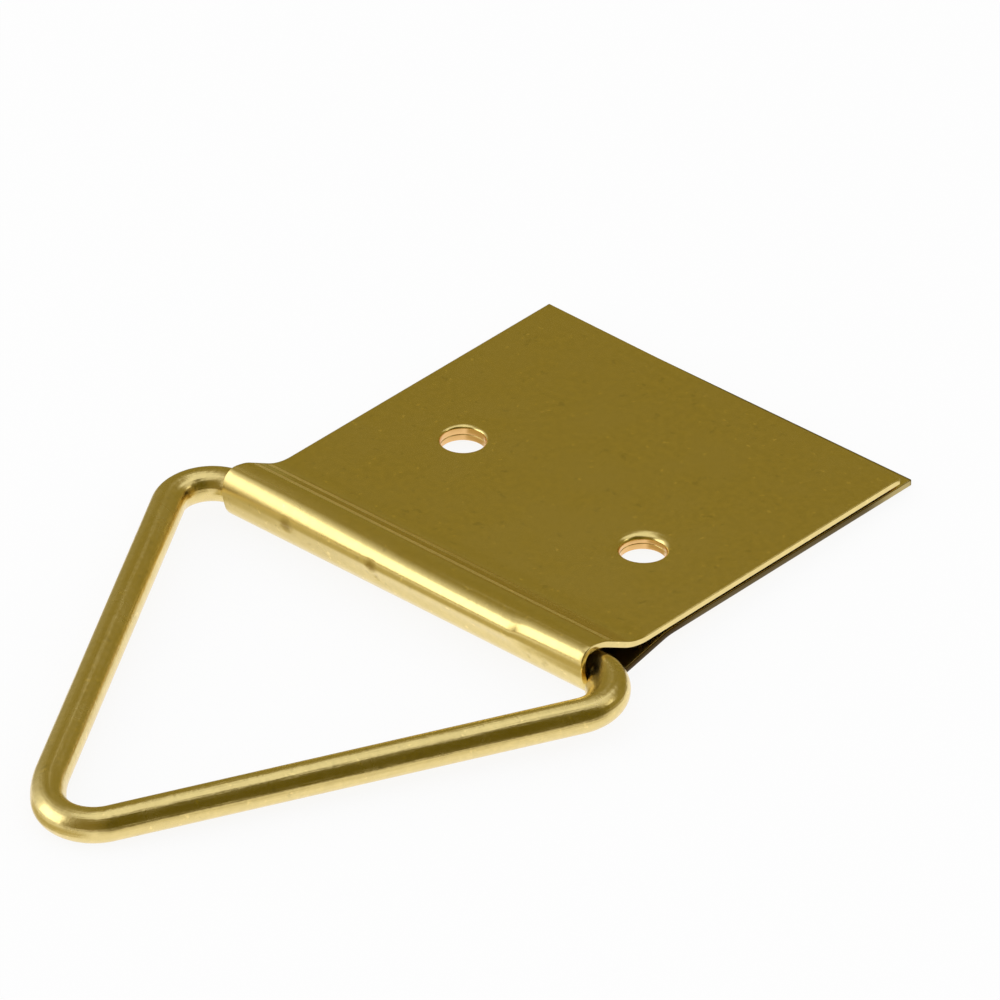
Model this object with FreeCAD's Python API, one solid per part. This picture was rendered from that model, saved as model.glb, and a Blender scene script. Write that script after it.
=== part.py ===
import FreeCAD, Part
import math
import os

# Picture hanger: a strip of brass sheet folded round one side of a bent wire triangle.
# Millimetres. X runs along the hinge wire, +Y from the ring's tip to the plate's back edge, +Z is up.
# The origin is midway between the two nail holes, on the flat underside of the lower leaf.

# Sheet of the folded plate
plate_width = 27.0
sheet = 0.4
leaf_gap = 0.15
wire_to_holes = 11.25
holes_to_top_edge = 14.4
leaf_step = 1.0

# Knuckle, the rolled loop that holds the wire: it hugs the wire below, leans forward and is rounder on top
wire_diameter = 2.0
seat_clearance = 0.05
crown_clearance = 0.45
knuckle_drop = 0.8
front_lean = 17.0
brow_radius = 0.83
crown_radius = 2.95
top_slope = 27.0
top_foot_radius = 4.25
low_slope = 12.0
low_foot_radius = 4.0
low_level_run = 1.6

# Nail holes, pierced through both leaves a little out of square
hole_diameter = 2.65
hole_spacing = 15.0
hole_skew = 1.6
left_rim_roll = 0.12
right_rim_roll = 0.2

# Wire triangle: the reach is from the hinge to the legs' sharp tip, along the wire's centre line
ring_reach = 32.1
tip_radius = 2.85
corner_radius = 2.45
side_clearance = 0.1
wire_end_gap = 0.6
ring_lie = 2.9

# Heights and places worked out from the sizes above
stack = 2 * sheet + leaf_gap
wire_radius = wire_diameter / 2
seat_radius = wire_radius + seat_clearance + sheet / 2
wire_y = -wire_to_holes
wire_z = seat_radius + sheet / 2 - knuckle_drop
loop_height = wire_diameter + seat_clearance + crown_clearance + sheet
knuckle_rise = loop_height + sheet - knuckle_drop - stack
low_edge_y = holes_to_top_edge + leaf_step


def heading(angle):
    """Unit step in the (y, z) plane along an angle in degrees."""
    turn = math.radians(angle)
    return math.cos(turn), math.sin(turn)


def follow_strip(start, angle, steps):
    """Walks along a strip's middle line; each step is a straight run and then a bend (radius, turn)."""
    y, z = start
    stretches = []
    for run, radius, turn in steps:
        ahead = heading(angle)
        end = (y + run * ahead[0], z + run * ahead[1])
        if run:
            stretches.append(("run", (y, z), end, angle))
        y, z = end
        if turn:
            side = math.copysign(1.0, turn)
            inward = heading(angle + 90.0 * side)
            centre = (y + radius * inward[0], z + radius * inward[1])
            stretches.append(("bend", centre, radius, angle, turn))
            angle = angle + turn
            outward = heading(angle - 90.0 * side)
            y = centre[0] + radius * outward[0]
            z = centre[1] + radius * outward[1]
    return stretches


def side_edges(stretches, offset):
    """Edges of one face of the sheet, at a distance to the left of its middle line."""
    x = -plate_width / 2
    edges = []
    for stretch in stretches:
        if stretch[0] == "run":
            kind, begin, end, angle = stretch
            left = heading(angle + 90.0)
            ends = [FreeCAD.Vector(x, p[0] + offset * left[0], p[1] + offset * left[1]) for p in (begin, end)]
            edges.append(Part.LineSegment(ends[0], ends[1]).toShape())
        else:
            kind, centre, radius, angle, turn = stretch
            side = math.copysign(1.0, turn)
            reach = radius - side * offset
            corners = []
            for share in (0.0, 0.5, 1.0):
                out = heading(angle + share * turn - 90.0 * side)
                corners.append(FreeCAD.Vector(x, centre[0] + reach * out[0], centre[1] + reach * out[1]))
            edges.append(Part.Arc(corners[0], corners[1], corners[2]).toShape())
    return edges


def folded_sheet():
    """Lower leaf, dip, wrap under the wire, leaning front, crown and slope down to the top leaf, in one strip."""
    lean = math.radians(front_lean)
    top_angle = math.radians(top_slope)
    low_angle = math.radians(low_slope)
    low_middle = sheet / 2
    dip_bends = 2 * low_foot_radius
    dip_run = (knuckle_drop - dip_bends * (1 - math.cos(low_angle))) / math.sin(low_angle)
    dip_length = dip_bends * math.sin(low_angle) + dip_run * math.cos(low_angle)
    wrap_height = seat_radius * (1 - math.sin(lean)) + brow_radius * (1 + math.sin(lean))
    front_run = (loop_height - wrap_height) / math.cos(lean)
    crown_y = wire_y + (brow_radius - seat_radius) * math.cos(lean) - front_run * math.sin(lean)
    top_bends = crown_radius + top_foot_radius
    slope_run = (knuckle_rise - top_bends * (1 - math.cos(top_angle))) / math.sin(top_angle)
    slope_length = top_bends * math.sin(top_angle) + slope_run * math.cos(top_angle)
    low_flat = low_edge_y - wire_y - low_level_run - dip_length
    top_flat = holes_to_top_edge - crown_y - slope_length
    stretches = follow_strip((low_edge_y, low_middle), 180.0, [
        (low_flat, low_foot_radius, low_slope),
        (dip_run, low_foot_radius, -low_slope),
        (low_level_run, seat_radius, front_lean - 90.0),
        (front_run, brow_radius, -front_lean - 90.0),
        (0.0, crown_radius, -top_slope),
        (slope_run, top_foot_radius, top_slope),
        (top_flat, 0.0, 0.0),
    ])
    outside = side_edges(stretches, sheet / 2)
    inside = side_edges(stretches, -sheet / 2)
    back_edges = [
        Part.LineSegment(outside[0].Vertexes[0].Point, inside[0].Vertexes[0].Point).toShape(),
        Part.LineSegment(outside[-1].Vertexes[-1].Point, inside[-1].Vertexes[-1].Point).toShape(),
    ]
    outline = Part.Wire(Part.__sortEdges__(outside + inside + back_edges))
    return Part.Face(outline).extrude(FreeCAD.Vector(plate_width, 0, 0))


def roll_rim(plate, x, y, roll):
    """Rounds the upper rim of a hole, where the punch drew the sheet down."""
    rim = []
    for edge in plate.Edges:
        if isinstance(edge.Curve, Part.Circle) and edge.Curve.Center.isEqual(FreeCAD.Vector(x, y, stack), 0.01):
            rim.append(edge)
    return plate.makeFillet(roll, rim)


def hanger_plate():
    """The folded sheet with its two nail holes."""
    plate = folded_sheet()
    holes = [
        (-hole_spacing / 2, hole_skew / 2, left_rim_roll),
        (hole_spacing / 2, -hole_skew / 2, right_rim_roll),
    ]
    for x, y, roll in holes:
        punch = Part.makeCylinder(hole_diameter / 2, stack + 2 * sheet, FreeCAD.Vector(x, y, -sheet))
        plate = plate.cut(punch)
    for x, y, roll in holes:
        plate = roll_rim(plate, x, y, roll)
    return plate


def half_base():
    """Half the triangle's base, so that its corner bends begin just outside the knuckle's ends."""
    straight = plate_width / 2 + side_clearance
    share = corner_radius / ring_reach
    root = math.hypot(straight * share, corner_radius * math.sqrt(1 - 2 * share))
    return (straight * (1 - share) + root) / (1 - 2 * share)


def hanging_ring():
    """Wire from one end in the knuckle, round the two corners and the tip, back to the other end."""
    ring_half_base = half_base()
    half_tip = math.atan2(ring_half_base, ring_reach)
    corner_turn = math.pi / 2 + half_tip
    tip_turn = math.pi - 2 * half_tip
    corner_tangent = corner_radius * math.tan(corner_turn / 2)
    tip_tangent = tip_radius * math.tan(tip_turn / 2)
    leg = math.hypot(ring_half_base, ring_reach)

    def on_leg(side, distance):
        share = distance / leg
        return FreeCAD.Vector(side * ring_half_base * (1 - share), -ring_reach * share, 0)

    def corner_arc(side):
        corner = FreeCAD.Vector(side * ring_half_base, 0, 0)
        begin = FreeCAD.Vector(side * (ring_half_base - corner_tangent), 0, 0)
        end = on_leg(side, corner_tangent)
        centre = FreeCAD.Vector(begin.x, -corner_radius, 0)
        middle = centre + (corner - centre).normalize() * corner_radius
        return begin, middle, end

    tip_centre = FreeCAD.Vector(0, -ring_reach + tip_radius / math.sin(half_tip), 0)
    tip_middle = tip_centre + FreeCAD.Vector(0, -tip_radius, 0)
    right_begin, right_middle, right_end = corner_arc(1)
    left_begin, left_middle, left_end = corner_arc(-1)
    right_tip = on_leg(1, leg - tip_tangent)
    left_tip = on_leg(-1, leg - tip_tangent)
    right_cut = FreeCAD.Vector(wire_end_gap / 2, 0, 0)
    left_cut = FreeCAD.Vector(-wire_end_gap / 2, 0, 0)
    path = Part.Wire([
        Part.LineSegment(right_cut, right_begin).toShape(),
        Part.Arc(right_begin, right_middle, right_end).toShape(),
        Part.LineSegment(right_end, right_tip).toShape(),
        Part.Arc(right_tip, tip_middle, left_tip).toShape(),
        Part.LineSegment(left_tip, left_end).toShape(),
        Part.Arc(left_end, left_middle, left_begin).toShape(),
        Part.LineSegment(left_begin, left_cut).toShape(),
    ])
    section = Part.Wire(Part.makeCircle(wire_radius, right_cut, FreeCAD.Vector(1, 0, 0)))
    ring = path.makePipeShell([section], True, False)
    area = math.pi * wire_radius ** 2
    print("ring volume over section times length:", round(ring.Volume / (area * path.Length), 6))
    ring.rotate(FreeCAD.Vector(0, 0, 0), FreeCAD.Vector(1, 0, 0), ring_lie)
    ring.translate(FreeCAD.Vector(0, wire_y, wire_z))
    return ring


os.makedirs("parts", exist_ok=True)
for node, make in (("hanger_plate", hanger_plate), ("hanging_ring", hanging_ring)):
    shape = make()
    print(node, "valid", shape.isValid(), "solids", len(shape.Solids), "volume", round(shape.Volume, 4))
    shape.exportStep("parts/" + node + ".step")
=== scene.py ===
# %% [markdown]
# A picture hanger is two pieces of brass: a strip of sheet folded back on itself, and a wire triangle
# that swings in the fold. The CAD model comes first and is loaded here as a fixed frame. Everything
# below only dresses it: finer meshes on the same sizes, brass finishes, a studio and a camera.

# %% Load the frame
import math
import bpy
import bmesh
import numpy as np
from mathutils import Matrix, Vector


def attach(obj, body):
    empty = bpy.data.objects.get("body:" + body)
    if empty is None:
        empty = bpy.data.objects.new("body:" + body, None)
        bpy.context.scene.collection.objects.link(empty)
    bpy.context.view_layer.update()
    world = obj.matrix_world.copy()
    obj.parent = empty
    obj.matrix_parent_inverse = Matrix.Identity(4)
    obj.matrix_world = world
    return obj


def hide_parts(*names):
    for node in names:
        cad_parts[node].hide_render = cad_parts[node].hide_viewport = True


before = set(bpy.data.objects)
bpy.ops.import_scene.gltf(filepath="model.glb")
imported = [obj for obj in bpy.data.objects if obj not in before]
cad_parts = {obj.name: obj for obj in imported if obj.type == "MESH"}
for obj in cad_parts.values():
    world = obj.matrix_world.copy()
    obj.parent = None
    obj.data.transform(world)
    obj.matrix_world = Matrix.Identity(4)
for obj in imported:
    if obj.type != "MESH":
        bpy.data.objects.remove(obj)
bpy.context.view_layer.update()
MM = 0.001

# %% [markdown]
# Sheet metal keeps one thickness all along, so its shape is a line with a thickness. The line is walked
# like a toy turtle would: straight on, then round a bend of some radius, and so on. The stops along each
# stretch are chosen where the mesh needs them, close together in bends and round the nail holes.

# %% Sizes of the folded sheet in millimetres
plate_width = 27.0
sheet = 0.4
leaf_gap = 0.15
wire_y = -11.25
top_edge_y = 14.4
low_edge_y = 15.4
wire_radius = 1.0
seat_clearance, crown_clearance = 0.05, 0.45
seat_radius = wire_radius + seat_clearance + sheet / 2
knuckle_drop = 0.8
loop_height = 2 * wire_radius + seat_clearance + crown_clearance + sheet
stack = 2 * sheet + leaf_gap
knuckle_rise = loop_height + sheet - knuckle_drop - stack
front_lean, top_slope, low_slope = 17.0, 27.0, 12.0
brow_radius, crown_radius, top_foot_radius, low_foot_radius = 0.83, 2.95, 4.25, 4.0
low_level_run = 1.6


def bend_lengths():
    """Straight runs that make the bends meet, worked out from the heights they have to bridge."""
    lean, top, low = (math.radians(a) for a in (front_lean, top_slope, low_slope))
    dip = (knuckle_drop - 2 * low_foot_radius * (1 - math.cos(low))) / math.sin(low)
    dip_length = 2 * low_foot_radius * math.sin(low) + dip * math.cos(low)
    wrap = seat_radius * (1 - math.sin(lean)) + brow_radius * (1 + math.sin(lean))
    front = (loop_height - wrap) / math.cos(lean)
    crown_y = wire_y + (brow_radius - seat_radius) * math.cos(lean) - front * math.sin(lean)
    bends = crown_radius + top_foot_radius
    slope = (knuckle_rise - bends * (1 - math.cos(top))) / math.sin(top)
    slope_length = bends * math.sin(top) + slope * math.cos(top)
    low_foot_y = wire_y + low_level_run + dip_length
    return dip, front, slope, low_foot_y, crown_y + slope_length


dip_run, front_run, slope_run, low_foot_y, top_foot_y = bend_lengths()
print("runs: dip", round(dip_run, 3), "front", round(front_run, 3), "slope", round(slope_run, 3))

# %% [markdown]
# A grid of square cells runs over both leaves, so that each nail hole can sit in a square window of
# sixteen cells a side. Away from the windows the rows spread out. One more row lies close to the lower leaf's
# back edge, to hold a thin line of painted shade along it.

# %% Rows of the grid along the leaves
hole_cell_x = 0.375
hole_cell_y = 0.4
window_cells = 16
even_rows, back_rows, front_rows = 10, 16, 8
hole_radius = 1.325
lip_drop = 0.145
left_roll, right_roll = (0.24, 0.18, 0.0), (0.40, 0.34, 0.16)
holes = [(-7.5, 0.8, left_roll, lip_drop), (7.5, -0.8, right_roll, lip_drop)]
edge_round = 0.06


def leaf_rows(first, last):
    """Stops in Y along a leaf: even cells round the holes, wider steps beyond them."""
    window = np.arange(even_rows, -even_rows - 1, -1) * hole_cell_y
    before = np.linspace(first, window[0], back_rows)[:-1]
    after = np.linspace(window[-1], last, front_rows)[1:]
    return np.concatenate([before, window, after])


rim_line = 0.14
low_rows = leaf_rows(low_edge_y - edge_round, low_foot_y)
low_rows = np.insert(low_rows, 1, low_rows[0] - rim_line)
top_rows = leaf_rows(top_edge_y - edge_round, top_foot_y)[::-1]
print("rows on the lower leaf", len(low_rows), "and on the top leaf", len(top_rows))


# %% Walk the middle line of the strip
def unit(angle):
    """Unit step in the (y, z) plane along an angle in degrees."""
    turn = math.radians(angle)
    return np.array([math.cos(turn), math.sin(turn)])


def walk_strip():
    """Points of the middle line with their headings, from the lower leaf's edge to the top leaf's."""
    points = [(y, sheet / 2) for y in low_rows]
    headings = [180.0] * len(low_rows)

    def bend(radius, turn, count):
        side = math.copysign(1.0, turn)
        start, angle = np.array(points[-1]), headings[-1]
        centre = start + radius * unit(angle + 90.0 * side)
        for share in np.linspace(0, 1, count + 1)[1:]:
            headings.append(angle + share * turn)
            points.append(tuple(centre + radius * unit(headings[-1] - 90.0 * side)))

    def run(length, count):
        start, angle = np.array(points[-1]), headings[-1]
        for share in np.linspace(0, 1, count + 1)[1:]:
            headings.append(angle)
            points.append(tuple(start + share * length * unit(angle)))

    bend(low_foot_radius, low_slope, 5)
    run(dip_run, 5)
    bend(low_foot_radius, -low_slope, 5)
    run(low_level_run, 4)
    bend(seat_radius, front_lean - 90.0, 14)
    run(front_run, 6)
    bend(brow_radius, -front_lean - 90.0, 24)
    bend(crown_radius, -top_slope, 10)
    run(slope_run, 6)
    bend(top_foot_radius, top_slope, 10)
    points.extend((y, stack - sheet / 2) for y in top_rows[1:])
    headings.extend([0.0] * (len(top_rows) - 1))
    return np.array(points), np.array(headings)


strip, strip_heading = walk_strip()
print("strip rows", len(strip), "ends at", strip[-1].round(3))

# %% [markdown]
# The sheet was cut by a press, so its edges are square but not razor sharp. Each edge gets a tiny round:
# near an edge the outline is pulled in along a quarter circle. One formula does it for the two sides of
# the plate and for the ends of the strip, and it is this round that catches the light as a bright line.

# %% Rows and columns with their rounded edges
half_sheet = sheet / 2
round_turns = np.radians([30.0, 60.0, 90.0])
half_width = plate_width / 2
plain_columns = np.arange(-35, 36) * hole_cell_x
row_base = np.vstack([strip[:1]] * 3 + [strip] + [strip[-1:]] * 3)
row_heading = np.concatenate([[180.0] * 3, strip_heading, [0.0] * 3])
row_turn = np.concatenate([round_turns[::-1], np.zeros(len(strip)), round_turns])
row_out = np.concatenate([-np.ones(3), np.zeros(len(strip)), np.ones(3)])
flat_end = half_width - edge_round
end_columns = flat_end + edge_round * np.sin(round_turns)
columns = np.concatenate([-end_columns[::-1], [-flat_end], plain_columns, [flat_end], end_columns])
end_shrink = edge_round * (1 - np.cos(round_turns))
column_shrink = np.concatenate([end_shrink[::-1], [0], 0 * plain_columns, [0], end_shrink])
print("grid", len(row_base), "rows by", len(columns), "columns on each face of the sheet")


# %% [markdown]
# The knuckle was rolled in a tool and then hammered shut, so its brow is not the same all along. It leans
# further forward at its two ends, and near the right end there is a small kink where the tool let go. Each
# row of the knuckle is moved a few hundredths of a millimetre along its normal to tilt the brow by a few
# degrees, which is enough to bend the bright line that runs along it.

# %% How the brow tilts along the knuckle
arc = np.concatenate([[0.0], np.cumsum(np.linalg.norm(np.diff(row_base, axis=0), axis=1))])
flattest, steepest = 40.0, 66.0
brow_rows = [k for k, h in enumerate(row_heading) if k > len(low_rows) and flattest <= h <= steepest]
brow_arc = float(np.mean(arc[brow_rows]))
brow_span = 1.35
brow_lead = 0.35
crown_top = stack + knuckle_rise
tilt_places = np.array([-13.5, -10.5, -7.0, -2.0, 3.0, 8.3, 8.8, 11.0, 13.5])
tilt_degrees = np.array([9.5, 6.0, 1.0, -2.0, -4.0, -6.5, 5.0, 8.0, 11.0])


def brow_shift(row):
    """How far one row moves along its normal at every column."""
    u = (arc[row] - brow_arc) / brow_span
    if abs(u) >= 1:
        return np.zeros(len(columns))
    tilt = np.radians(np.interp(columns, tilt_places, tilt_degrees))
    return tilt * brow_span * (u - brow_lead) * (1 - u * u) ** 2


largest = max(abs(brow_shift(row)).max() for row in range(len(arc)))
print("brow rows", len(brow_rows), "largest shift in mm", round(largest, 3))


# %% [markdown]
# The strip was folded by hand pressure in a simple tool, so the two leaves are a hair out of line: the top
# leaf's back edge reaches half a millimetre further at its left corner than at its right one.

# %% Place the grid on both faces of the sheet
edge_skew = 0.5
skew_start = 4.0


def face_grid(side):
    """Points of one face: side 1 is the outer face, side -1 the inner one."""
    grid = np.zeros((len(row_base), len(columns), 3))
    for row, (base, angle, turn, out) in enumerate(zip(row_base, row_heading, row_turn, row_out)):
        left, ahead = unit(angle + 90.0), unit(angle)
        room = edge_round - column_shrink
        depth = side * (half_sheet - edge_round + room * math.cos(turn)) + brow_shift(row)
        along = out * room * math.sin(turn)
        grid[row, :, 0] = columns
        grid[row, :, 1:] = base + np.outer(along, ahead) + np.outer(depth, left)
    grid[:, :, 2] = np.minimum(grid[:, :, 2], crown_top if side == 1 else crown_top - sheet)
    askew = edge_skew * (half_width - columns) / plate_width
    skew_run = top_edge_y - skew_start
    for row in range(len(row_base) - len(top_rows), len(row_base)):
        grid[row, :, 1] += askew * max(0.0, (row_base[row, 0] - skew_start) / skew_run)
    return grid


outer_grid, inner_grid = face_grid(1), face_grid(-1)
print("outer face spans in mm", outer_grid.min((0, 1)).round(3), outer_grid.max((0, 1)).round(3))

# %% [markdown]
# Each nail hole was punched through both leaves at once. The punch draws the upper rim down into a soft
# roll and leaves the lower edge crisp. In the mesh a hole is a stack of rings that starts at the square
# window on a leaf's upper face, closes in to the rim, rolls over it, runs down the wall and opens out
# again on the face below. A roll has a width, a depth and a lean: the punch for the right hole stood a
# little out of plumb and drew its back rim further. The top leaf's wall ends in a lip that was drawn down
# onto the lower leaf.


# %% Stack of rings for a hole
crisp = 0.04
lip_foot, lip_heel, lip_spread = 0.10, 0.02, 0.16


def hole_profile(roll, lip, top_z, bottom_z):
    """Radius, height and lean of the rings from a hole's upper rim, down its wall and round its lip."""
    width, depth, lean = roll
    rings = []
    for turn in np.radians(np.linspace(0, 90, 9)):
        out = 1 - math.sin(turn)
        rings.append((hole_radius + width * out, top_z - depth * (1 - math.cos(turn)), lean * out))
    for turn in np.radians(np.linspace(0, 90, 4)):
        out = 1 - math.cos(turn)
        rings.append((hole_radius + crisp * out, bottom_z - lip + crisp * (1 - math.sin(turn)), 0.0))
    if lip:
        rings.append((hole_radius + lip_foot, bottom_z - lip + lip_heel, 0.0))
        rings.append((hole_radius + lip_spread, bottom_z, 0.0))
    return rings


def window_loop(rows, cols):
    """Grid places round the edge of a square window, once round."""
    first_row, last_row = rows
    first_col, last_col = cols
    loop = [(first_row, c) for c in range(first_col, last_col)]
    loop += [(r, last_col) for r in range(first_row, last_row)]
    loop += [(last_row, c) for c in range(last_col, first_col, -1)]
    loop += [(r, first_col) for r in range(last_row, first_row, -1)]
    return loop


print("rings in the wall of a hole:", len(hole_profile(left_roll, lip_drop, stack, stack - sheet)))


# %% Join the grids, the cut edges and the holes into one mesh
lean_way = np.array([-0.55, 0.83])
crisp_rim = (0.05, 0.05, 0.0)
fan_shares = (0.4, 0.75)
# Walls below this share of the roll get a warmer tone: partly torn metal, partly painted bounce light.
torn_bounce_share = 0.85
dip_rows = 20
# Painted shade on the lower leaf's cut edges, set along Y, and on a thin line along its back edge.
edge_shade_places, edge_shade_amounts = [-5.0, -3.0, 11.5, 14.0], [1.0, 0.92, 0.92, 0.48]
rim_rows, rim_edge_shade = 4, 0.68


def row_at(y, leaf):
    """Row of the grid that runs at a given Y on the lower or the top leaf."""
    order = np.abs(row_base[:, 0] - y)
    half = len(row_base) // 2
    return int(order[:half].argmin()) if leaf == "low" else int(order[half:].argmin()) + half


def sheet_mesh():
    """Vertices and faces of the folded sheet with its holes."""
    rows, cols = outer_grid.shape[:2]
    points = [tuple(p) for grid in (outer_grid, inner_grid) for p in grid.reshape(-1, 3)]
    runs = [arc[row] for side in (0, 1) for row in range(rows) for col in range(cols)]
    torn_bounce_walls = [0.0] * len(points)
    edge_shade = [0.0] * len(points)

    def place(side, row, col):
        return side * rows * cols + row * cols + col

    # Painted shade: the lower leaf's cut edges lie under the top leaf and close to the table, and are
    # darkened.
    for row in range(len(low_rows) + dip_rows):
        amount = float(np.interp(row_base[row, 0], edge_shade_places, edge_shade_amounts))
        for side in (0, 1):
            for col in (0, 1, 2, cols - 3, cols - 2, cols - 1):
                edge_shade[place(side, row, col)] = amount
    # Painted shade: a thin dark line along the lower leaf's back edge.
    for row in range(rim_rows):
        for side in (0, 1):
            for col in range(cols):
                edge_shade[place(side, row, col)] = rim_edge_shade
    windows = []
    for x, y, roll, drawn in holes:
        left = int(np.abs(columns - (x - window_cells / 2 * hole_cell_x)).argmin())
        for leaf, top_z, rim, lip in (("top", stack, roll, drawn), ("low", sheet, crisp_rim, 0.0)):
            ends = sorted(row_at(y + s * window_cells / 2 * hole_cell_y, leaf) for s in (-1, 1))
            windows.append((x, y, (rim, lip), leaf, top_z, ends, (left, left + window_cells)))
    faces = []
    for row in range(rows - 1):
        for col in range(cols - 1):
            inside = any(e[0] <= row < e[1] and c[0] <= col < c[1] for *_, e, c in windows)
            if not inside:
                for side in (0, 1):
                    corners = ((row, col), (row, col + 1), (row + 1, col + 1), (row + 1, col))
                    faces.append([place(side, *corner) for corner in corners])
    for row in range(rows - 1):
        for col in (0, cols - 1):
            corners = ((0, row), (0, row + 1), (1, row + 1), (1, row))
            faces.append([place(side, r, col) for side, r in corners])
    for col in range(cols - 1):
        for row in (0, rows - 1):
            corners = ((0, col), (0, col + 1), (1, col + 1), (1, col))
            faces.append([place(side, row, c) for side, c in corners])
    for x, y, shape, leaf, top_z, ends, sides in windows:
        upper = 0 if leaf == "top" else 1
        loop = window_loop(ends, sides)
        spokes = np.array([points[place(upper, *spot)][:2] for spot in loop]) - (x, y)
        reach = np.linalg.norm(spokes, axis=1, keepdims=True)
        profile = hole_profile(*shape, top_z, top_z - sheet)
        stacks = [[place(upper, *spot) for spot in loop]]
        rings = [(profile[0][0], top_z, profile[0][2], share) for share in fan_shares]
        rings += [(radius, height, lean, 1.0) for radius, height, lean in profile]
        rings += [(profile[-1][0], top_z - sheet, 0.0, share) for share in fan_shares[::-1]]
        torn_bounce_z = top_z - torn_bounce_share * shape[0][1]
        run_start, run_way = (arc[-1] - top_rows[-1], 1) if leaf == "top" else (low_rows[0], -1)
        for radius, height, lean, share in rings:
            spread = reach * (1 - share) + radius * share
            spots = spokes / reach * spread + (x, y) + share * lean * lean_way
            start = len(points)
            points.extend((spot[0], spot[1], height) for spot in spots)
            runs.extend(run_start + run_way * spot[1] for spot in spots)
            # The torn wall's warmer tone is partly painted bounce light from the brass round it.
            torn_bounce_walls.extend([float(height < torn_bounce_z and height != top_z - sheet)] * len(loop))
            edge_shade.extend([0.0] * len(loop))
            stacks.append(list(range(start, start + len(loop))))
        stacks.append([place(1 - upper, *spot) for spot in loop])
        for above, below in zip(stacks, stacks[1:]):
            for k in range(len(loop)):
                n = (k + 1) % len(loop)
                faces.append([above[k], above[n], below[n], below[k]])
    points = np.array(points)
    grain = np.stack([points[:, 0], np.zeros(len(points)), runs], 1)
    return points, faces, grain, {"torn_bounce": torn_bounce_walls, "edge_shade": edge_shade}


sheet_points, sheet_faces, sheet_grain, sheet_notes = sheet_mesh()
print("folded sheet:", len(sheet_points), "points,", len(sheet_faces), "faces")


# %% [markdown]
# Notes are kept on the corners of a mesh for its finish to read. "grain" says where a corner lies on the
# metal as it left the mill, so that lines run on round a bend. Another note marks the walls that a punch tore
# open. Their warmer tone is partly the torn metal and partly painted bounce light from the brass round them.
# The last note is painted shade on the lower leaf. It darkens the cut edges, which lie in shade under the top
# leaf and close to the table, and a thin line along the back edge.


# %% Make the plate's object
def solid_object(name, points, faces, grain, notes):
    """A smooth shaded mesh object from points in millimetres, with its faces turned outwards."""
    mesh = bpy.data.meshes.new(name)
    mesh.from_pydata([tuple(p) for p in np.asarray(points) * MM], [], faces)
    work = bmesh.new()
    work.from_mesh(mesh)
    bmesh.ops.recalc_face_normals(work, faces=work.faces)
    open_edges = sum(len(edge.link_faces) != 2 for edge in work.edges)
    work.to_mesh(mesh)
    work.free()
    mesh.polygons.foreach_set("use_smooth", [True] * len(mesh.polygons))
    note = mesh.attributes.new("grain", "FLOAT_VECTOR", "POINT")
    note.data.foreach_set("vector", np.asarray(grain, np.float32).ravel())
    for label, values in notes.items():
        note = mesh.attributes.new(label, "FLOAT", "POINT")
        note.data.foreach_set("value", np.asarray(values, np.float32))
    piece = bpy.data.objects.new(name, mesh)
    bpy.context.scene.collection.objects.link(piece)
    even = piece.modifiers.new("even_normals", "WEIGHTED_NORMAL")
    even.weight = 100
    print(name, "faces", len(mesh.polygons), "open edges", open_edges)
    return piece


plate = solid_object("folded_plate", sheet_points, sheet_faces, sheet_grain, sheet_notes)
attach(plate, "plate")
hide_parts("hanger_plate")

# %% [markdown]
# The ring is one length of round wire, bent at two corners and a tip. Its two ends meet inside the
# knuckle, where they can turn. Because the wire lies in one plane, a ring of points can be carried along
# its line with no twist: one direction of each ring lies in that plane and the other stands square to it.
# The bends were not made alike: the tip starts with a wide sweep, and the right corner is rounder and
# swells on its inside, as thick wire does when it is bent hard.

# %% Line of the wire
ring_reach = 32.1
tip_bends = [(2.6, 0.85), (8.0, 0.15)]
corner_radius = 2.45
right_corner_radius = 2.65
right_corner_swell = 0.55
swell_start, swell_lead = 0.08, 0.7
side_clearance = 0.1
straight_half = half_width + side_clearance
half_end_gap, end_chamfer = 0.3, 0.12
end_start = half_end_gap + end_chamfer
station, bend_stations = 0.4, 40
ring_lie = math.radians(2.9)
wire_z = seat_radius + half_sheet - knuckle_drop


def half_base():
    """Half the triangle's base, where the corner bends begin just outside the knuckle."""
    share = corner_radius / ring_reach
    root = math.hypot(straight_half * share, corner_radius * math.sqrt(1 - 2 * share))
    return (straight_half * (1 - share) + root) / (1 - 2 * share)


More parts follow.
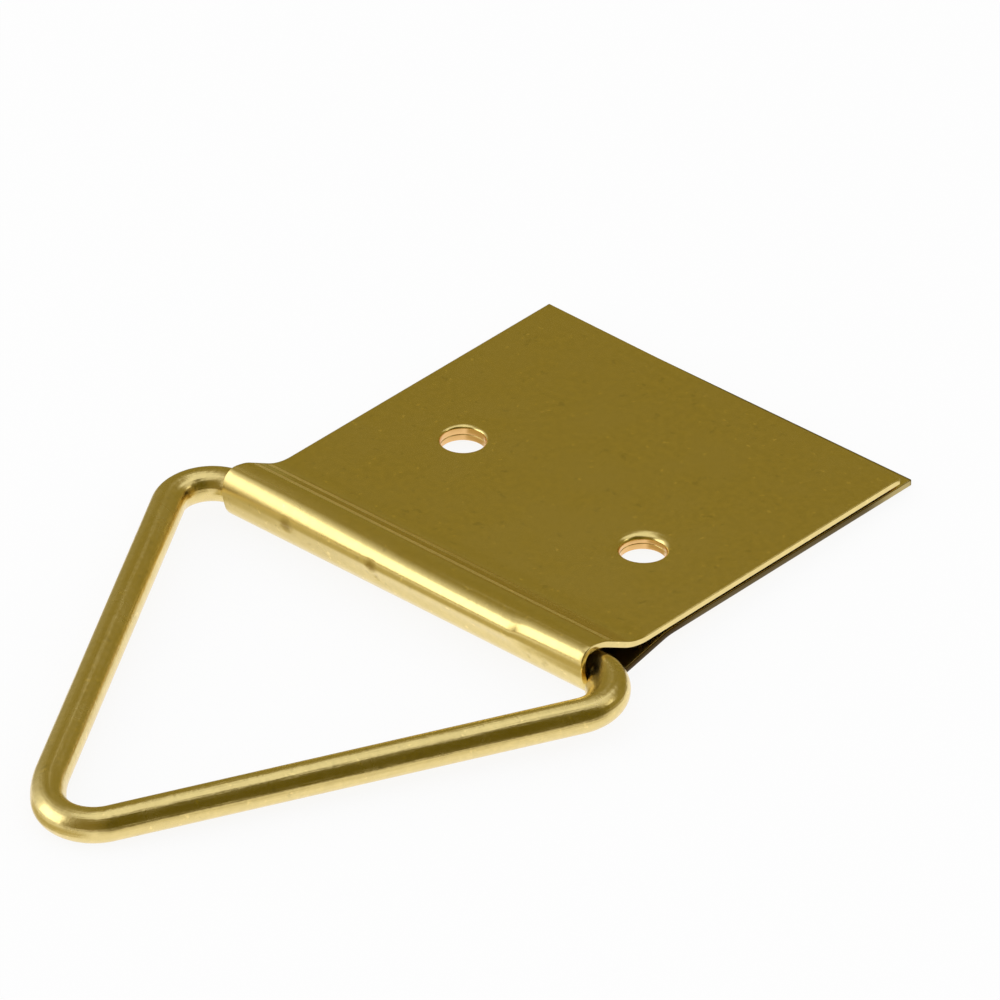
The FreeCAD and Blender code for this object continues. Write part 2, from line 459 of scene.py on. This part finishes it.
def wire_line():
    """Points, headings and swelling along the wire, from one end in the knuckle to the other."""
    base = half_base()
    leg_angle = math.atan2(ring_reach, base)
    turns = [math.pi - leg_angle, 2 * leg_angle, math.pi - leg_angle]
    corner_cuts = [radius * math.tan(turns[0] / 2) for radius in (right_corner_radius, corner_radius)]
    legs = [math.hypot(base, ring_reach) - cut for cut in corner_cuts]
    straights = [base - cut - end_start for cut in corner_cuts]
    tip_turns = [turns[1] * share for radius, share in tip_bends]
    cuts = [radius * math.tan(turn / 2) for (radius, share), turn in zip(tip_bends, tip_turns)]
    reaches = [cuts[k] + sum(cuts) * math.sin(tip_turns[1 - k]) / math.sin(turns[1]) for k in (0, 1)]
    spot, angle = np.array([end_start, 0.0]), 0.0
    points, angles, swells = [spot], [angle], [0.0]
    steps = [(straights[0], right_corner_radius, turns[0], right_corner_swell),
             (legs[0] - reaches[0], tip_bends[0][0], tip_turns[0], 0.0),
             (0.0, tip_bends[1][0], tip_turns[1], 0.0),
             (legs[1] - reaches[1], corner_radius, turns[2], 0.0), (straights[1], 0.0, 0.0, 0.0)]
    for length, radius, turn, swell in steps:
        ahead = np.array([math.cos(angle), math.sin(angle)])
        for share in np.linspace(0, 1, math.ceil(length / station) + 1)[1:]:
            points.append(spot + ahead * length * share)
            angles.append(angle)
            swells.append(0.0)
        spot = points[-1]
        if turn:
            inward = np.array([math.sin(angle), -math.cos(angle)])
            centre = spot + radius * inward
            for share in np.linspace(0, 1, bend_stations + 1)[1:]:
                now = angle - turn * share
                outward = np.array([-math.sin(now), math.cos(now)])
                points.append(centre + radius * outward)
                angles.append(now)
                beyond = max(0.0, (share - swell_start) / (1 - swell_start))
                swells.append(swell * math.sin(math.pi * beyond ** swell_lead) ** 2)
            spot, angle = points[-1], angle - turn
    return np.array(points), np.array(angles), np.array(swells)


wire_points, wire_angles, wire_swells = wire_line()
print("wire stations", len(wire_points), "closing gap", (wire_points[-1] - wire_points[0]).round(3))


# %% Carry a round section along the line
def wire_mesh(around=56):
    """Vertices and faces of the wire, with a small chamfer at its two cut ends."""
    turn = np.arange(around) * 2 * math.pi / around
    count = len(wire_points)
    points = np.zeros((count, around, 3))
    for k, (spot, angle, swell) in enumerate(zip(wire_points, wire_angles, wire_swells)):
        across = np.array([-math.sin(angle), math.cos(angle), 0.0])
        upward = np.array([0.0, 0.0, 1.0])
        sideways = np.where(np.cos(turn) < 0, 1 + swell, 1.0) * np.cos(turn)
        offset = np.outer(sideways, across) + np.outer(np.sin(turn), upward)
        points[k] = np.append(spot, 0.0) + wire_radius * offset
    rim = points[[0, -1]].copy()
    ends = []
    for k, side in ((0, -1), (1, 1)):
        middle = rim[k].mean(0)
        cap = middle + (rim[k] - middle) * (1 - end_chamfer / wire_radius)
        ends.append(cap + (side * end_chamfer, 0, 0))
    points = np.concatenate([[ends[0]], points, [ends[1]]])
    cl, sl = math.cos(ring_lie), math.sin(ring_lie)
    flat = points.reshape(-1, 3)
    laid = np.stack([flat[:, 0], flat[:, 1] * cl - flat[:, 2] * sl, flat[:, 1] * sl + flat[:, 2] * cl], 1)
    laid += (0.0, wire_y, wire_z)
    faces = []
    for k in range(len(points) - 1):
        for j in range(around):
            n = (j + 1) % around
            faces.append([k * around + j, k * around + n, (k + 1) * around + n, (k + 1) * around + j])
    faces.append(list(range(around)))
    faces.append([(len(points) - 1) * around + j for j in range(around)])
    along = np.concatenate([[0.0], np.cumsum(np.linalg.norm(np.diff(wire_points, axis=0), axis=1))])
    along = np.concatenate([[0.0], along, along[-1:]])
    circle = np.tile(np.stack([np.cos(turn), np.sin(turn)], 1), (len(points), 1))
    return laid, faces, np.column_stack([circle, np.repeat(along, around)])


ring_points, ring_faces, ring_grain = wire_mesh()
ring = solid_object("wire_ring", ring_points, ring_faces, ring_grain, {})
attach(ring, "ring")
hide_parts("hanging_ring")

# %% [markdown]
# Bare brass is never one colour. It darkens a little in patches, it is dotted with tiny specks, and the
# rollers and dies leave fine lines along it. The closing tool leaves dents on the knuckle, and the edge of
# the folding tool leaves matt lines behind it. Each effect is one node group that the finishes share, with
# their own values. A group hands out a plain value, and the material decides what to do with it.


# %% Helpers for node groups
def effect_group(name, inputs):
    """A shader node group with a Vector input, some number inputs and one Value output."""
    group = bpy.data.node_groups.new(name, "ShaderNodeTree")
    group.interface.new_socket("Vector", in_out="INPUT", socket_type="NodeSocketVector")
    for label, value in inputs.items():
        socket = group.interface.new_socket(label, in_out="INPUT", socket_type="NodeSocketFloat")
        socket.default_value = value
    group.interface.new_socket("Value", in_out="OUTPUT", socket_type="NodeSocketFloat")
    return group, group.nodes.new("NodeGroupInput"), group.nodes.new("NodeGroupOutput")


def add_noise(group, vector, scale, detail):
    """A noise node in a group, with its scale taken from a socket."""
    noise = group.nodes.new("ShaderNodeTexNoise")
    noise.inputs["Detail"].default_value = detail
    group.links.new(vector, noise.inputs["Vector"])
    group.links.new(scale, noise.inputs["Scale"])
    return noise


def add_range(group, value, low, high):
    """Stretches a value so that low becomes 0 and high becomes 1, with soft ends."""
    stretch = group.nodes.new("ShaderNodeMapRange")
    stretch.interpolation_type = "SMOOTHSTEP"
    stretch.inputs["From Min"].default_value = low
    stretch.inputs["From Max"].default_value = high
    group.links.new(value, stretch.inputs["Value"])
    return stretch


def add_math(group, operation, first, second=0.0):
    """A math node whose two inputs are sockets or plain numbers."""
    node = group.nodes.new("ShaderNodeMath")
    node.operation = operation
    for slot, value in enumerate((first, second)):
        if isinstance(value, float):
            node.inputs[slot].default_value = value
        else:
            group.links.new(value, node.inputs[slot])
    return node.outputs["Value"]


# %% Patches, specks and lines
def patch_group():
    """Slow cloudy change of tone."""
    group, entry, out = effect_group("brass_patches", {"Scale": 0.2})
    noise = add_noise(group, entry.outputs["Vector"], entry.outputs["Scale"], 4.0)
    stretch = add_range(group, noise.outputs["Fac"], 0.3, 0.7)
    group.links.new(stretch.outputs["Result"], out.inputs["Value"])
    return group


def speck_group():
    """Small separate dots: only the peaks of a fine noise."""
    group, entry, out = effect_group("brass_specks", {"Scale": 2.0})
    noise = add_noise(group, entry.outputs["Vector"], entry.outputs["Scale"], 2.0)
    stretch = add_range(group, noise.outputs["Fac"], 0.64, 0.76)
    group.links.new(stretch.outputs["Result"], out.inputs["Value"])
    return group


def line_group():
    """Fine lines: a noise drawn out along the third direction of the grain."""
    group, entry, out = effect_group("brass_lines", {"Scale": 1.0})
    squeeze = group.nodes.new("ShaderNodeMapping")
    squeeze.inputs["Scale"].default_value = (1.0, 1.0, 0.03)
    group.links.new(entry.outputs["Vector"], squeeze.inputs["Vector"])
    noise = add_noise(group, squeeze.outputs["Vector"], entry.outputs["Scale"], 3.0)
    stretch = add_range(group, noise.outputs["Fac"], 0.3, 0.7)
    group.links.new(stretch.outputs["Result"], out.inputs["Value"])
    return group


# %% Dents, crown and press marks
wobble_reach = 0.24
dent_edge, dent_floor = 0.40, 0.08
crown_back, crown_front = brow_arc + 2.4, brow_arc - 0.35
crown_right, crown_left = 3.0, -13.0
mark_edge, mark_middle = 0.34, 0.08
mark_margin = 0.3


def dent_group(spots):
    """Small uneven dents on the front of the knuckle, where the closing tool struck it."""
    group, entry, out = effect_group("knuckle_dents", {"Scale": 3.0})
    wobble = add_noise(group, entry.outputs["Vector"], entry.outputs["Scale"], 1.0)
    warp = group.nodes.new("ShaderNodeVectorMath")
    warp.operation = "MULTIPLY_ADD"
    warp.inputs[1].default_value = (wobble_reach, wobble_reach, wobble_reach)
    group.links.new(wobble.outputs["Color"], warp.inputs[0])
    group.links.new(entry.outputs["Vector"], warp.inputs[2])
    total = 0.0
    for x, z, size in spots:
        apart = group.nodes.new("ShaderNodeVectorMath")
        apart.operation = "DISTANCE"
        apart.inputs[1].default_value = tuple(v + wobble_reach / 2 for v in (x, front_y, z))
        group.links.new(warp.outputs["Vector"], apart.inputs[0])
        dent = add_range(group, apart.outputs["Value"], dent_edge * size, dent_floor * size)
        total = add_math(group, "MAXIMUM", total, dent.outputs["Result"])
    group.links.new(total, out.inputs["Value"])
    return group


def crown_group():
    """Slow forward slope of the crown on the left half of the knuckle, where it was struck flatter."""
    group, entry, out = effect_group("crown_slope", {"Scale": 1.0})
    split = group.nodes.new("ShaderNodeSeparateXYZ")
    group.links.new(entry.outputs["Vector"], split.inputs["Vector"])
    along = add_range(group, split.outputs["Z"], crown_back, crown_front)
    across = add_range(group, split.outputs["X"], crown_right, crown_left)
    both = add_math(group, "MULTIPLY", along.outputs["Result"], across.outputs["Result"])
    sized = add_math(group, "MULTIPLY", both, entry.outputs["Scale"])
    group.links.new(sized, out.inputs["Value"])
    return group


def mark_group(marks):
    """Matt lines across the slope behind the knuckle; each has a place, a tilt and an X where it fades."""
    group, entry, out = effect_group("press_marks", {"Scale": 1.0})
    split = group.nodes.new("ShaderNodeSeparateXYZ")
    group.links.new(entry.outputs["Vector"], split.inputs["Vector"])
    total = 0.0
    for place, tilt, faint in marks:
        drift = add_math(group, "MULTIPLY", split.outputs["X"], tilt)
        level = add_math(group, "SUBTRACT", split.outputs["Z"], drift)
        gap = add_math(group, "ABSOLUTE", add_math(group, "SUBTRACT", level, place))
        line = add_range(group, gap, mark_edge, mark_middle)
        strength = add_range(group, split.outputs["X"], faint, -half_width)
        mark = add_math(group, "MULTIPLY", line.outputs["Result"], strength.outputs["Result"])
        total = add_math(group, "MAXIMUM", total, mark)
    side = add_math(group, "ABSOLUTE", split.outputs["X"])
    inside = add_range(group, side, flat_end, flat_end - mark_margin)
    kept = add_math(group, "MULTIPLY", total, inside.outputs["Result"])
    sized = add_math(group, "MULTIPLY", kept, entry.outputs["Scale"])
    group.links.new(sized, out.inputs["Value"])
    return group


half_way = len(row_base) // 2
slope_rows = [k for k, h in enumerate(row_heading) if k > half_way and abs(h + top_slope) < 0.01]
crown_end, foot_end = (float(arc[slope_rows[k]]) for k in (0, -1))
crown_mark, foot_mark = crown_end + 0.3, foot_end - 0.025
press_marks = [(crown_mark, 0.0, 60.0), (foot_mark, 0.0093, 16.0)]
front_y = float(outer_grid[:, :, 1].min())
dent_spots = [(-8.6, 1.2, 1.7), (-7.0, 0.5, 1.0), (-2.1, 1.4, 1.5), (-1.8, 0.6, 1.1),
              (9.5, 0.4, 1.1), (10.8, 0.6, 1.1)]
effects = {
    "patches": patch_group(),
    "specks": speck_group(),
    "lines": line_group(),
    "dents": dent_group(dent_spots),
    "crown": crown_group(),
    "marks": mark_group(press_marks),
}
print("effects:", sorted(effects))

# %% [markdown]
# Both finishes are the same brass, so one function builds them: a metal whose colour moves between a clean
# and a darkened tone, with light and dark specks. On the sheet, painted shade makes the dents browner and
# darkens the lower leaf's cut edges. The torn walls get a warmer tone that is partly the torn metal and
# partly painted bounce light. Brass is a little rougher where it is darker and where the press rubbed it. Its
# lines, flecks and dents are a very shallow bump too, and a wide bump on the crown spreads its bright line.
# The wire carries stronger lines than the sheet, because it was pulled through a drawing die.


# %% Build a brass finish
# Painted shade in the dents and on the lower leaf's cut edges, and a torn wall tone that is partly painted
# bounce light.
dent_shade_tone, torn_bounce_tone, edge_shade_tone = (0.46, 0.33, 0.09), (0.80, 0.50, 0.20), (0.045, 0.024, 0.0)
dent_depth, crown_depth = -0.03, -0.62
crown_rough, mark_rough = 0.31, 0.82


def add_effect(tree, label, vector, scale):
    """Puts one shared effect into a material and returns its value."""
    node = tree.nodes.new("ShaderNodeGroup")
    node.node_tree = effects[label]
    node.inputs["Scale"].default_value = scale
    tree.links.new(vector, node.inputs["Vector"])
    return node.outputs["Value"]


def add_coat(tree, below, colour, factor):
    """Lays a colour over another one where a value is high."""
    coat = tree.nodes.new("ShaderNodeMix")
    coat.data_type = "RGBA"
    coat.inputs["B"].default_value = (*colour, 1.0)
    if isinstance(below, tuple):
        coat.inputs["A"].default_value = (*below, 1.0)
    else:
        tree.links.new(below, coat.inputs["A"])
    tree.links.new(factor, coat.inputs["Factor"])
    return coat.outputs["Result"]


def shade(colour, amount):
    """The same colour, lighter or darker."""
    return tuple(amount * c for c in colour)


def add_polish(tree, patches, rough, worn):
    """Roughness between two values, and rougher still where the metal is worn."""
    polish = tree.nodes.new("ShaderNodeMapRange")
    polish.inputs["To Min"].default_value = rough[0]
    polish.inputs["To Max"].default_value = rough[1]
    tree.links.new(patches, polish.inputs["Value"])
    for value, roughest in worn:
        matt = tree.nodes.new("ShaderNodeMapRange")
        matt.inputs["To Max"].default_value = roughest
        tree.links.new(polish.outputs["Result"], matt.inputs["To Min"])
        tree.links.new(value, matt.inputs["Value"])
        polish = matt
    return polish.outputs["Result"]


def add_bumps(tree, bumps):
    """Normal that follows several shallow bumps, each with its depth in millimetres."""
    normal = None
    for value, depth in bumps:
        bump = tree.nodes.new("ShaderNodeBump")
        bump.inputs["Strength"].default_value = 1.0
        bump.inputs["Distance"].default_value = depth * MM
        tree.links.new(value, bump.inputs["Height"])
        if normal:
            tree.links.new(normal, bump.inputs["Normal"])
        normal = bump.outputs["Normal"]
    return normal


def brass(name, clean, rough, scales, depths, pressed_and_shaded):
    """A brass material; scales and depths are its effects'. The flag adds press marks and painted shade and
    bounce.
    """
    material = bpy.data.materials.new(name)
    material.use_nodes = True
    tree = material.node_tree
    shader = tree.nodes["Principled BSDF"]
    shader.inputs["Metallic"].default_value = 1.0
    place = tree.nodes.new("ShaderNodeTexCoord")
    size = tree.nodes.new("ShaderNodeMapping")
    size.inputs["Scale"].default_value = (1 / MM, 1 / MM, 1 / MM)
    tree.links.new(place.outputs["Object"], size.inputs["Vector"])
    mill = tree.nodes.new("ShaderNodeAttribute")
    mill.attribute_name = "grain"
    spot, grain = size.outputs["Vector"], mill.outputs["Vector"]
    patches = add_effect(tree, "patches", spot, scales["patches"])
    flecks = add_effect(tree, "patches", spot, scales["flecks"])
    specks = add_effect(tree, "specks", spot, scales["specks"])
    glints = add_effect(tree, "specks", spot, scales["glints"])
    lines = add_effect(tree, "lines", grain, scales["lines"])
    bumps = [(lines, depths["lines"]), (flecks, depths["flecks"])]
    worn = []
    colour = clean
    for value, amount in ((patches, 0.95), (flecks, 0.92), (specks, 0.83), (glints, 1.15)):
        colour = add_coat(tree, colour, shade(clean, amount), value)
    if pressed_and_shaded:
        dents = add_effect(tree, "dents", spot, scales["dents"])
        crown = add_effect(tree, "crown", grain, 1.0)
        marks = add_effect(tree, "marks", grain, 1.0)
        bumps += [(dents, dent_depth), (crown, crown_depth)]
        worn += [(crown, crown_rough), (marks, mark_rough)]
        # Painted shade: the dents are darkened and browned in the colour, besides their shallow bump.
        colour = add_coat(tree, colour, dent_shade_tone, dents)
        # Warmer torn walls, partly painted bounce light, and painted shade on the lower leaf's cut edges.
        for label, tone in (("torn_bounce", torn_bounce_tone), ("edge_shade", edge_shade_tone)):
            note = tree.nodes.new("ShaderNodeAttribute")
            note.attribute_name = label
            colour = add_coat(tree, colour, tone, note.outputs["Fac"])
    tree.links.new(colour, shader.inputs["Base Color"])
    tree.links.new(add_polish(tree, patches, rough, worn), shader.inputs["Roughness"])
    tree.links.new(add_bumps(tree, bumps), shader.inputs["Normal"])
    print("finish", name, "roughness", rough)
    return material


sheet_scales = {"patches": 0.35, "flecks": 2.2, "specks": 1.6, "glints": 2.1, "lines": 3.0, "dents": 3.0}
sheet_depths = {"lines": 0.0005, "flecks": 0.002}
wire_scales = {"patches": 0.5, "flecks": 2.6, "specks": 1.9, "glints": 2.4, "lines": 5.0}
wire_depths = {"lines": 0.006, "flecks": 0.005}
sheet_clean, sheet_rough = (0.82, 0.66, 0.26), (0.19, 0.24)
wire_clean, wire_rough = (0.83, 0.67, 0.28), (0.22, 0.28)
sheet_brass = brass("sheet_brass", sheet_clean, sheet_rough, sheet_scales, sheet_depths, pressed_and_shaded=True)
wire_brass = brass("wire_brass", wire_clean, wire_rough, wire_scales, wire_depths, pressed_and_shaded=False)
plate.data.materials.append(sheet_brass)
ring.data.materials.append(wire_brass)

# %% [markdown]
# Polished metal only shows what stands around it, so the studio is built for its reflections. The floor is
# white to the camera and takes a soft shadow, but the metal does not mirror it, as if it were clear glass.
# From below it is clear too, so that the underside can be looked at.
# Instead a bowl of cards stands all round, seen by reflections alone: dim warm cards above the horizon give
# the flat plate its olive tone, a white sheet lies far below, and a softbox behind a window in the bowl draws
# the bright line along the knuckle. The cards stand higher at the sides and behind, where the wire would
# mirror the white sky. The hanger rests on the tip of its ring and on its back edge. The model keeps the
# plate level, so it is the floor that climbs by the same two degrees under it.

# %% White sky and floor
scene = bpy.context.scene
scene.view_settings.view_transform = "Standard"


def add_shares(tree, shares):
    """Socket with a share for each kind of ray, and 0 for all the others."""
    path = tree.nodes.new("ShaderNodeLightPath")
    total = None
    for label, share in shares.items():
        part = tree.nodes.new("ShaderNodeMath")
        part.operation = "MULTIPLY_ADD"
        part.inputs[1].default_value = share
        part.inputs[2].default_value = 0.0
        tree.links.new(path.outputs[label], part.inputs[0])
        if total:
            tree.links.new(total, part.inputs[2])
        total = part.outputs["Value"]
    return total


world = bpy.data.worlds.new("white_sky")
world.use_nodes = True
scene.world = world
sky = world.node_tree.nodes["Background"]
sky.inputs["Color"].default_value = (1.0, 1.0, 1.0, 1.0)
level = world.node_tree.nodes.new("ShaderNodeMapRange")
level.inputs["To Min"].default_value = 0.9
level.inputs["To Max"].default_value = 1.0
sky_shares = {"Is Camera Ray": 1.0, "Is Glossy Ray": 1.0, "Is Transmission Ray": 1.0}
seen = add_shares(world.node_tree, sky_shares)
world.node_tree.links.new(seen, level.inputs["Value"])
world.node_tree.links.new(level.outputs["Result"], sky.inputs["Strength"])

tip_foot = (-40.2, -1.83)
back_foot = (15.6, -0.01)
floor_reach = 3.0
floor_line = [(-floor_reach / MM, tip_foot[1]), tip_foot, back_foot, (floor_reach / MM, back_foot[1])]
floor_points = [(s * floor_reach, y * MM, z * MM) for y, z in floor_line for s in (-1, 1)]
floor_mesh = bpy.data.meshes.new("floor")
floor_mesh.from_pydata(floor_points, [], [(2 * k, 2 * k + 1, 2 * k + 3, 2 * k + 2) for k in range(3)])
floor = bpy.data.objects.new("floor", floor_mesh)
floor.visible_glossy = False
scene.collection.objects.link(floor)

floor_white = bpy.data.materials.new("floor_white")
floor_white.use_nodes = True
tree = floor_white.node_tree
tree.nodes.remove(tree.nodes["Principled BSDF"])
matt = tree.nodes.new("ShaderNodeBsdfDiffuse")
matt.inputs["Color"].default_value = (0.9, 0.9, 0.9, 1.0)
glow = tree.nodes.new("ShaderNodeEmission")
blend = tree.nodes.new("ShaderNodeMixShader")
seen = add_shares(tree, {"Is Camera Ray": 0.88, "Is Transmission Ray": 0.88})
tree.links.new(seen, blend.inputs["Fac"])
tree.links.new(matt.outputs["BSDF"], blend.inputs[1])
tree.links.new(glow.outputs["Emission"], blend.inputs[2])
clear = tree.nodes.new("ShaderNodeBsdfTransparent")
facing = tree.nodes.new("ShaderNodeNewGeometry")
one_way = tree.nodes.new("ShaderNodeMixShader")
tree.links.new(facing.outputs["Backfacing"], one_way.inputs["Fac"])
tree.links.new(blend.outputs["Shader"], one_way.inputs[1])
tree.links.new(clear.outputs["BSDF"], one_way.inputs[2])
tree.links.new(one_way.outputs["Shader"], tree.nodes["Material Output"].inputs["Surface"])
floor_mesh.materials.append(floor_white)
print("floor climbs", round(back_foot[1] - tip_foot[1], 2), "mm under the hanger")


# %% Bowl of cards
def from_compass(azimuth, elevation, distance):
    """Point at an azimuth (0 is -Y, 90 is +X), an elevation and a distance from the origin."""
    a, e = math.radians(azimuth), math.radians(elevation)
    return distance * np.array([math.sin(a) * math.cos(e), -math.cos(a) * math.cos(e), math.sin(e)])


def soft_step(value, low, high):
    """0 below low, 1 above high, smooth between."""
    t = min(1.0, max(0.0, (value - low) / (high - low)))
    return t * t * (3 - 2 * t)


def soft_window(value, low, high, blur):
    """1 between low and high, 0 outside, with soft edges."""
    return soft_step(value, low - blur, low + blur) * (1 - soft_step(value, high - blur, high + blur))


back_tone = np.array([0.285, 0.235, 0.062])
right_tone = np.array([0.13, 0.105, 0.012])
front_tone = np.array([0.24, 0.19, 0.05])
sheet_tone = np.array([1.05, 1.03, 1.05])
shade_tone = np.array([0.56, 0.49, 0.27])


def card_tone(azimuth, elevation):
    """Colour of the bowl and how much of it is there, at one place given in degrees."""
    right = soft_window(azimuth, 45, 112, 12)
    front = soft_window(azimuth, -60, 45, 12)
    left = soft_window(azimuth, -128, -60, 8)
    behind = soft_window(azimuth, -178, -144, 8)
    top = 46 + 20 * right + 12 * front + 20 * left + 18 * behind
    window = soft_step(azimuth, -115, -55) * (1 - soft_step(azimuth, -26, -6))
    window *= 1 - soft_step(elevation, 36, 70)
    cover = (1 - soft_step(elevation, top - 5, top + 7)) * (1 - window)
    tone = back_tone * (1 - right - front) + right_tone * right + front_tone * front
    foot = -5 - 5 * right - 16 * soft_window(azimuth, -152, -92, 10)
    below = 1 - soft_step(elevation, foot - 6, foot + 6)
    shaded = soft_window(azimuth, -90, 20, 12) * soft_window(elevation, -46, -14, 7)
    shaded += 0.45 * right * soft_window(elevation, -34, 0, 18)
    low_tone = sheet_tone * (1 - shaded) + shade_tone * shaded
    tone = tone * (1 - below) + low_tone * below
    return (*tone, max(cover, below))


def bowl_mesh(radius=0.25):
    """A bowl round the hanger that is open at the top, with its tones kept on its corners."""
    azimuths, elevations = np.arange(-180, 181, 4), np.arange(-88, 77, 2)
    points = [from_compass(a, e, radius) for a in azimuths for e in elevations]
    tones = [card_tone(a, e) for a in azimuths for e in elevations]
    high = len(elevations)
    faces = []
    for i in range(len(azimuths) - 1):
        for j in range(high - 1):
            faces.append([i * high + j, (i + 1) * high + j, (i + 1) * high + j + 1, i * high + j + 1])
    mesh = bpy.data.meshes.new("card_bowl")
    mesh.from_pydata([tuple(p) for p in points], [], faces)
    paint = mesh.attributes.new("card_tone", "FLOAT_COLOR", "POINT")
    paint.data.foreach_set("color", np.array(tones, np.float32).ravel())
    return mesh


bowl = bpy.data.objects.new("card_bowl", bowl_mesh())
scene.collection.objects.link(bowl)
for kind in ("camera", "diffuse", "transmission", "shadow", "volume_scatter"):
    setattr(bowl, "visible_" + kind, False)
card = bpy.data.materials.new("dim_card")
card.use_nodes = True
tree = card.node_tree
tree.nodes.remove(tree.nodes["Principled BSDF"])
paint = tree.nodes.new("ShaderNodeAttribute")
paint.attribute_name = "card_tone"
glow = tree.nodes.new("ShaderNodeEmission")
clear = tree.nodes.new("ShaderNodeBsdfTransparent")
blend = tree.nodes.new("ShaderNodeMixShader")
tree.links.new(paint.outputs["Color"], glow.inputs["Color"])
tree.links.new(paint.outputs["Alpha"], blend.inputs["Fac"])
tree.links.new(clear.outputs["BSDF"], blend.inputs[1])
tree.links.new(glow.outputs["Emission"], blend.inputs[2])
tree.links.new(blend.outputs["Shader"], tree.nodes["Material Output"].inputs["Surface"])
card.cycles.emission_sampling = "NONE"
bowl.data.materials.append(card)
print("bowl corners", len(bowl.data.vertices))


# %% Softboxes
def softbox(name, azimuth, elevation, distance, width, height, radiance):
    """An area light that faces the hanger, with the brightness that its reflection should have."""
    light = bpy.data.lights.new(name, "AREA")
    light.shape = "RECTANGLE"
    light.size, light.size_y = width, height
    light.energy = radiance * math.pi * width * height
    box = bpy.data.objects.new(name, light)
    scene.collection.objects.link(box)
    box.location = from_compass(azimuth, elevation, distance)
    box.rotation_mode = "QUATERNION"
    box.rotation_quaternion = box.location.to_track_quat("Z", "Y")
    print(name, "watts", round(light.energy, 3))


softbox("key_softbox", azimuth=-40, elevation=20, distance=0.7, width=0.64, height=0.52, radiance=1.15)
softbox("small_softbox", azimuth=128, elevation=37, distance=0.22, width=0.05, height=0.05, radiance=1.6)

# %% [markdown]
# The camera stands where the photograph was taken from: well back, with a long lens, so the plate's edges
# stay almost parallel. Its place is given by the way it faces, the point it aims at and a distance.

# %% Camera
camera_azimuth, camera_elevation, roll = 41.582, 33.022, math.radians(0.447)
stand_off = 731.13
aim = Vector((-6.363, 2.713, -3.607)) * MM
back = Vector(from_compass(camera_azimuth, camera_elevation, 1.0))
level_right = Vector(from_compass(camera_azimuth + 90.0, 0.0, 1.0))
level_up = back.cross(level_right)
right = level_right * math.cos(roll) + level_up * math.sin(roll)
upright = level_up * math.cos(roll) - level_right * math.sin(roll)
lens = bpy.data.cameras.new("camera")
lens.sensor_width = 36.0
lens.lens = 462.06
lens.clip_start, lens.clip_end = 0.05, 20.0
camera = bpy.data.objects.new("camera", lens)
scene.collection.objects.link(camera)
turn = Matrix((right, upright, back)).transposed().to_4x4()
camera.matrix_world = Matrix.Translation(aim + back * stand_off * MM) @ turn
scene.camera = camera
print("camera at mm", [round(v / MM, 1) for v in camera.location])
